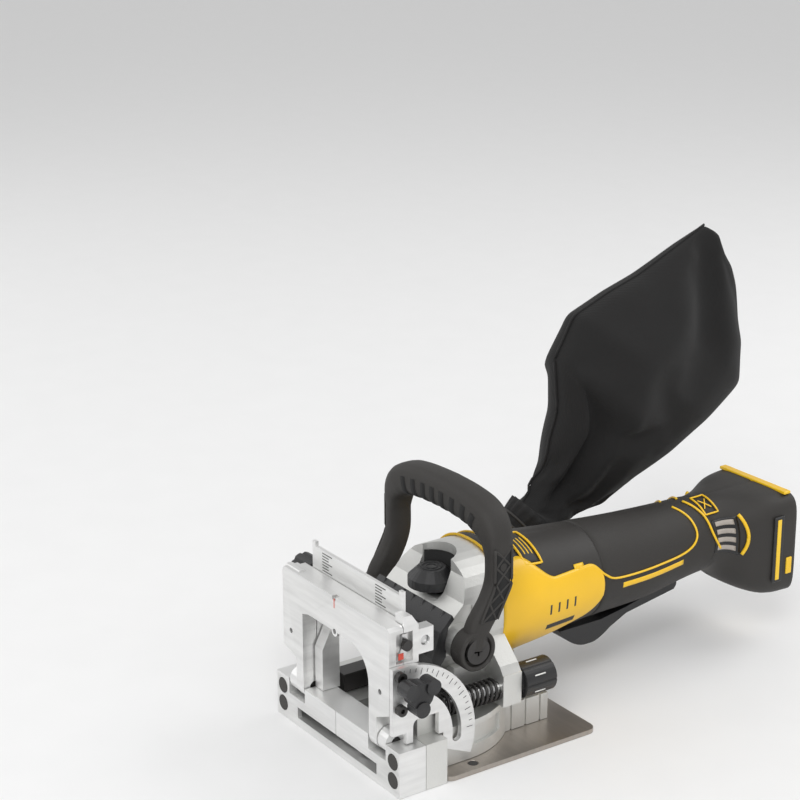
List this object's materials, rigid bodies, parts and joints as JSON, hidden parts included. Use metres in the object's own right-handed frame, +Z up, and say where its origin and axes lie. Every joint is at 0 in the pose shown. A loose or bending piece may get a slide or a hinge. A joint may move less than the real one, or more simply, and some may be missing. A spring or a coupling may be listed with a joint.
{
  "type": "biscuit joiner",
  "caption": "Cordless biscuit joiner with a plunging motor carriage, tilting height-adjustable fence, bail handle and dust bag.",
  "frame": {"origin": "on the underside of the sole, below the spindle axis at rest", "axes": "+Z up, -Y the way the blade plunges, +X to the side that carries the angle quadrant"},
  "size_m": [0.1738, 0.3888, 0.2833],
  "materials": {
    "cast": "satin cast",
    "steel": "satin",
    "dark_steel": "blackened",
    "black": "moulded",
    "rubber": "matt",
    "yellow": "moulded",
    "red": "painted",
    "copper": "wound",
    "fabric": "woven"
  },
  "bodies": {
    "shoe": {"sole_plate": "steel", "sole_screw_right": "dark_steel", "sole_screw_left": "dark_steel", "nose_block": "cast", "grip_pad_1": "rubber", "grip_pad_2": "rubber", "grip_pad_3": "rubber", "grip_pad_4": "rubber", "blade_housing": "cast", "guide_rail_right": "dark_steel", "guide_rail_left": "dark_steel", "spring_rod": "steel", "return_spring": "dark_steel", "guide_frame": "cast", "dust_outlet": "black", "dust_collar": "black", "dust_bag": "fabric"},
    "height_carrier": {"height_carrier": "cast", "pivot_pin_right": "dark_steel", "pivot_pin_left": "dark_steel", "tilt_stud": "steel", "angle_pointer": "red", "pointer_screw": "dark_steel"},
    "pinion": {"pinion_shaft": "steel", "height_knob": "black"},
    "height_lock": {"height_lock_lever": "black"},
    "fence": {"fence_arch": "cast", "tilt_quadrant": "cast", "quadrant_screw_1": "dark_steel", "quadrant_screw_2": "dark_steel"},
    "tilt_knob": {"tilt_knob": "black"},
    "carriage": {"gear_case": "cast", "gear_case_shield": "black", "bail_handle": "rubber", "bail_screw_right": "dark_steel", "bail_screw_left": "dark_steel", "housing_right": "yellow", "housing_left": "yellow", "grip_cover_right": "rubber", "grip_cover_left": "rubber", "battery_receiver": "black", "terminal_block": "copper", "control_module": "black", "stator": "copper", "motor_end_frame": "black", "bearing_front": "steel", "bearing_rear": "steel", "spindle_bearing": "steel"},
    "lock_button": {"spindle_lock_button": "black"},
    "rotor": {"rotor": "dark_steel", "cooling_fan": "black", "bevel_pinion": "steel"},
    "spindle": {"spindle": "steel", "crown_gear": "steel", "blade": "steel", "blade_nut": "dark_steel"},
    "depth_knob": {"depth_knob": "black"},
    "paddle": {"paddle_switch": "black"},
    "lock_off": {"lock_off_lever": "yellow"}
  },
  "joints": [
    {"name": "carriage_slide", "type": "slide", "parent": "shoe", "child": "carriage", "axis": [0, -1, 0], "range_m": [0, 0.022], "stiffness_N_per_m": 900, "springref_m": -0.017, "deforming": ["return_spring"]},
    {"name": "height_slide", "type": "slide", "parent": "shoe", "child": "height_carrier", "axis": [0, 0, 1], "range_m": [0, 0.03]},
    {"name": "pinion_spin", "type": "hinge", "parent": "height_carrier", "child": "pinion", "pos_m": [0, -0.0266, 0.092], "axis": [1, 0, 0], "range_deg": [-1, 345]},
    {"name": "height_lock_turn", "type": "hinge", "parent": "height_carrier", "child": "height_lock", "pos_m": [-0.058, -0.0356, 0.064], "axis": [1, 0, 0], "range_deg": [0, 60]},
    {"name": "fence_tilt", "type": "hinge", "parent": "height_carrier", "child": "fence", "pos_m": [0, -0.045, 0.029], "axis": [1, 0, 0], "range_deg": [0, 90]},
    {"name": "tilt_knob_turn", "type": "hinge", "parent": "height_carrier", "child": "tilt_knob", "pos_m": [0.07, -0.04197, 0.06748], "axis": [1, 0, 0], "range_deg": [0, 60]},
    {"name": "spindle_spin", "type": "hinge", "parent": "carriage", "child": "spindle", "pos_m": [0, 0, 0.0092], "axis": [0, 0, 1], "continuous": true},
    {"name": "rotor_spin", "type": "hinge", "parent": "carriage", "child": "rotor", "pos_m": [0, 0.047, 0.079], "axis": [0, 1, 0], "continuous": true},
    {"name": "lock_button_press", "type": "slide", "parent": "carriage", "child": "lock_button", "axis": [0, 0, -1], "range_m": [0, 0.003], "stiffness_N_per_m": 800, "springref_m": -0.002},
    {"name": "depth_knob_turn", "type": "hinge", "parent": "carriage", "child": "depth_knob", "pos_m": [0.05, 0.059, 0.041], "axis": [0, 1, 0], "continuous": true},
    {"name": "paddle_press", "type": "hinge", "parent": "carriage", "child": "paddle", "pos_m": [0, 0.209, 0.054], "axis": [-1, 0, 0], "range_deg": [0, 3], "stiffness_Nm_per_rad": 8, "springref_deg": -5.73},
    {"name": "lock_off_press", "type": "hinge", "parent": "paddle", "child": "lock_off", "pos_m": [0, 0.1615, 0.0425], "axis": [-1, 0, 0], "range_deg": [0, 8], "stiffness_Nm_per_rad": 0.3, "springref_deg": -5.73}
  ],
  "couplings": [
    {"joint": "pinion_spin", "follows": "height_slide", "rad_per_m": 200},
    {"joint": "rotor_spin", "follows": "spindle_spin", "ratio": 4}
  ]
}
